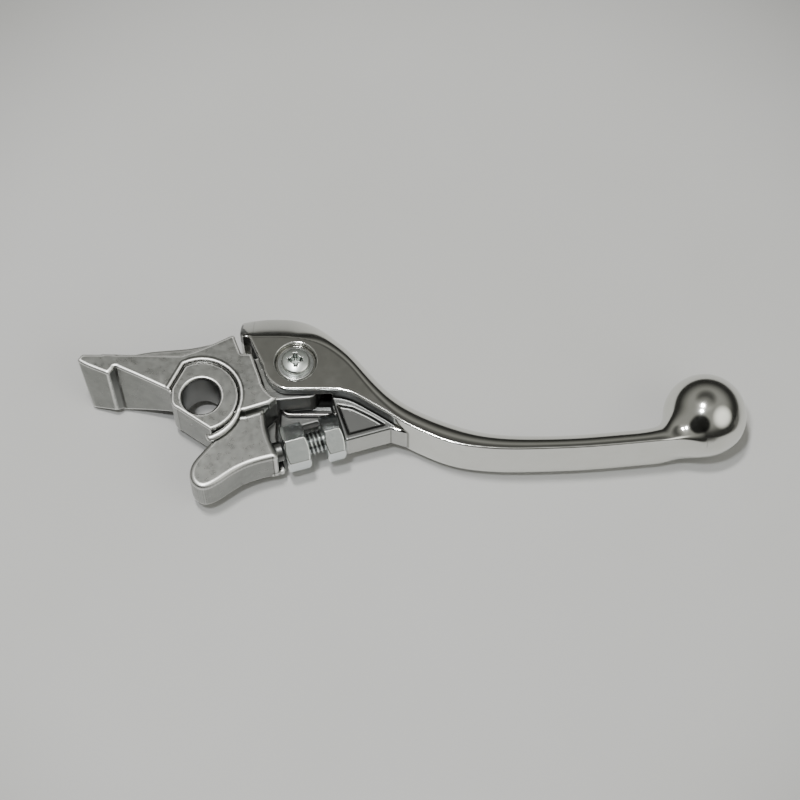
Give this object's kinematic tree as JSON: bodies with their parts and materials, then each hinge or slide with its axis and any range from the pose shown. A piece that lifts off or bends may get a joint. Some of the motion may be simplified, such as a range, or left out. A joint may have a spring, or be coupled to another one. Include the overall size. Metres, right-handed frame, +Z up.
{
  "type": "motorcycle control lever",
  "caption": "Hand lever with a ball end, forked onto a separate cast knocker that turns on a bore and pushes a hydraulic piston; a hexagon adjuster sets the reach.",
  "frame": {"origin": "on the axis of the main pivot bore, half way along it", "axes": "+X along the lever towards the ball end, +Y away from the handlebar grip, +Z up along the bore"},
  "size_m": [0.1606, 0.0466, 0.02],
  "materials": {
    "cast_aluminium": "matte, as cast and tumbled",
    "polished_aluminium": "polished",
    "zinc_steel": "bright zinc plated",
    "bronze": "plain sintered",
    "spring_steel": "drawn wire"
  },
  "bodies": {
    "knocker_body": {"knocker": "cast_aluminium", "pivot_bush": "bronze", "return_spring": "spring_steel"},
    "lever_body": {"lever_blade": "polished_aluminium", "lever_pivot_screw": "zinc_steel", "pivot_washer": "zinc_steel", "fork_shims": "spring_steel", "pivot_lock_nut": "zinc_steel"},
    "adjuster_body": {"adjuster_bolt": "zinc_steel"},
    "lock_nut_body": {"adjuster_lock_nut": "zinc_steel"}
  },
  "joints": [
    {"name": "lever_swing", "type": "hinge", "parent": "knocker_body", "child": "lever_body", "pos_m": [0.0224, 0.0089, 0], "axis": [0, 0, 1], "range_deg": [0, 4], "stiffness_Nm_per_rad": 0.068, "springref_deg": -57.3, "deforming": ["return_spring"]},
    {"name": "adjuster_travel", "type": "slide", "parent": "lever_body", "child": "adjuster_body", "axis": [0.9603, 0.279, 0], "range_m": [0, 0.0034]},
    {"name": "lock_nut_turn", "type": "hinge", "parent": "lever_body", "child": "lock_nut_body", "pos_m": [0.03111, -0.00723, -0.0015], "axis": [0.9603, 0.279, 0], "range_deg": [0, 180]}
  ]
}
